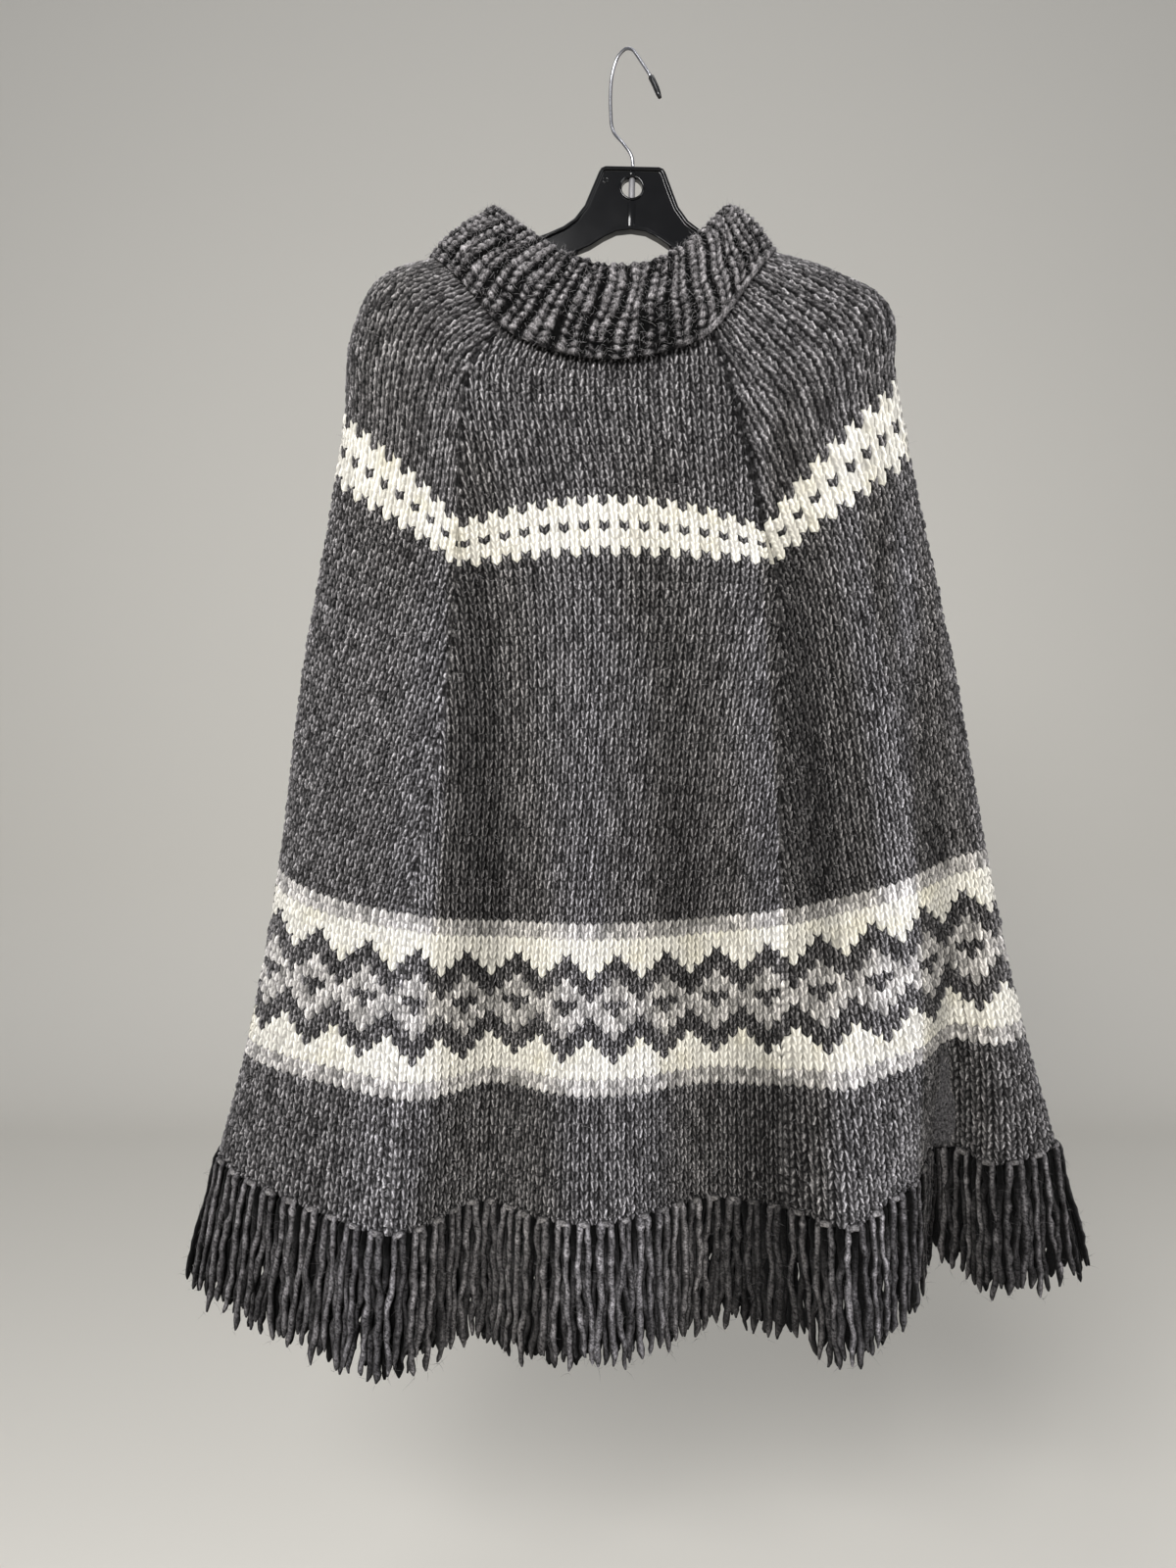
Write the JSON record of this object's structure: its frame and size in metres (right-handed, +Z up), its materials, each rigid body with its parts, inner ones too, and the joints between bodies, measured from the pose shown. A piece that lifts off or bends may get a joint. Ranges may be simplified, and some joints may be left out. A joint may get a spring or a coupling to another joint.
{
  "type": "knitted poncho sweater on hanger",
  "caption": "Hip-length knitted poncho sweater with raglan shoulders, a turned-down ribbed collar, patterned bands and a fringed hem, hung on a plastic coat hanger.",
  "frame": {"origin": "inside top of the hanger's hook, where it rests on the peg or rail that carries it", "axes": "+X to the right of someone facing the front of the garment, -Y towards them, +Z up"},
  "size_m": [0.7233, 0.149, 1.0657],
  "materials": {
    "wool": "bulky heather knit, stocking stitch with cream and marl bands",
    "collar_wool": "bulky heather knit, single rib",
    "fringe_yarn": "plied heather yarn",
    "hanger_plastic": "black, glossy",
    "hook_steel": "plated wire",
    "tip_rubber": "soft, satin"
  },
  "bodies": {
    "root": {"front_gore": "wool", "back_gore": "wool", "left_gore": "wool", "right_gore": "wool", "collar": "collar_wool", "fringe_front": "fringe_yarn", "fringe_back": "fringe_yarn", "fringe_left": "fringe_yarn", "fringe_right": "fringe_yarn", "hanger_body": "hanger_plastic", "hook_wire": "hook_steel", "hook_tip": "tip_rubber"}
  },
  "joints": []
}
